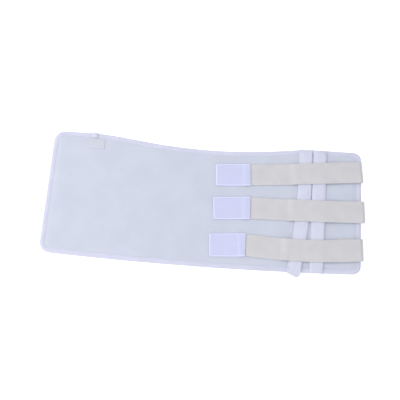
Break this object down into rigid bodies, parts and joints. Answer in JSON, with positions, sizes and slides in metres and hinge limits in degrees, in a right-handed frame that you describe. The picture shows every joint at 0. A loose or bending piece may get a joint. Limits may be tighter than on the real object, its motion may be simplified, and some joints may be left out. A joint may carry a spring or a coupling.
{
  "type": "ankle foot orthosis",
  "caption": "Soft wrap splint for the lower leg and ankle, laid open, with bound edges, fold-back elastic straps with hook tabs, and slide-out stays in webbing sleeves.",
  "frame": {"origin": "on the inner face (the lining), at the middle of the wrap's length and about mid-width; the wrap lies open on this face", "axes": "+X along the wrap towards the strap end, +Y towards the scooped edge, +Z out of the outer face"},
  "size_m": [0.5684, 0.2423, 0.0103],
  "materials": {
    "laminate": "matte brushed loop knit, pale blue",
    "foam": "matte open-cell foam",
    "lining": "matte soft brushed tricot",
    "binding": "matte knitted edge tape",
    "elastic": "matte ribbed woven elastic, warm grey",
    "hook": "satin nylon hook tape, bluish white",
    "webbing": "matte ribbed webbing, white",
    "label": "satin woven label, blank",
    "stay": "brushed",
    "tip": "soft moulded plastic"
  },
  "bodies": {
    "wrap": {"inner_lining": "lining", "foam_core": "foam", "outer_laminate": "laminate", "edge_binding": "binding", "binding_overlap": "binding", "care_label": "label", "stay_sleeve_left": "webbing", "stay_sleeve_right": "webbing", "strap_anchor_1": "elastic", "strap_anchor_2": "elastic", "strap_anchor_3": "elastic"},
    "strap_1": {"strap_1": "elastic"},
    "hook_tab_1": {"hook_tab_1": "hook"},
    "strap_2": {"strap_2": "elastic"},
    "hook_tab_2": {"hook_tab_2": "hook"},
    "strap_3": {"strap_3": "elastic"},
    "hook_tab_3": {"hook_tab_3": "hook"},
    "stay_left": {"stay_left": "stay", "stay_tip_left_upper": "tip", "stay_tip_left_lower": "tip"},
    "stay_right": {"stay_right": "stay", "stay_tip_right_upper": "tip", "stay_tip_right_lower": "tip"}
  },
  "joints": [
    {"name": "strap_fold_1", "type": "hinge", "parent": "wrap", "child": "strap_1", "pos_m": [0.281, 0.0728, 0.0076], "axis": [-0.0872, 0.9962, 0], "range_deg": [0, 179]},
    {"name": "tab_lift_1", "type": "hinge", "parent": "strap_1", "child": "hook_tab_1", "pos_m": [0.07205, 0.05452, 0.0078], "axis": [0.0872, -0.9962, 0], "range_deg": [-110, 0]},
    {"name": "strap_fold_2", "type": "hinge", "parent": "wrap", "child": "strap_2", "pos_m": [0.2853, -0.0013, 0.0076], "axis": [-0.0419, 0.9991, 0], "range_deg": [0, 179]},
    {"name": "tab_lift_2", "type": "hinge", "parent": "strap_2", "child": "hook_tab_2", "pos_m": [0.07473, -0.01013, 0.0078], "axis": [0.0419, -0.9991, 0], "range_deg": [-110, 0]},
    {"name": "strap_fold_3", "type": "hinge", "parent": "wrap", "child": "strap_3", "pos_m": [0.2828, -0.0698, 0.0076], "axis": [-0.0366, 0.9993, 0], "range_deg": [0, 179]},
    {"name": "tab_lift_3", "type": "hinge", "parent": "strap_3", "child": "hook_tab_3", "pos_m": [0.06969, -0.07761, 0.0078], "axis": [0.0366, -0.9993, 0], "range_deg": [-110, 0]},
    {"name": "stay_slide_left", "type": "slide", "parent": "wrap", "child": "stay_left", "axis": [-0.0698, -0.9976, 0], "range_m": [0, 0.21]},
    {"name": "stay_slide_right", "type": "slide", "parent": "wrap", "child": "stay_right", "axis": [-0.0105, -0.9999, 0], "range_m": [0, 0.21]}
  ]
}
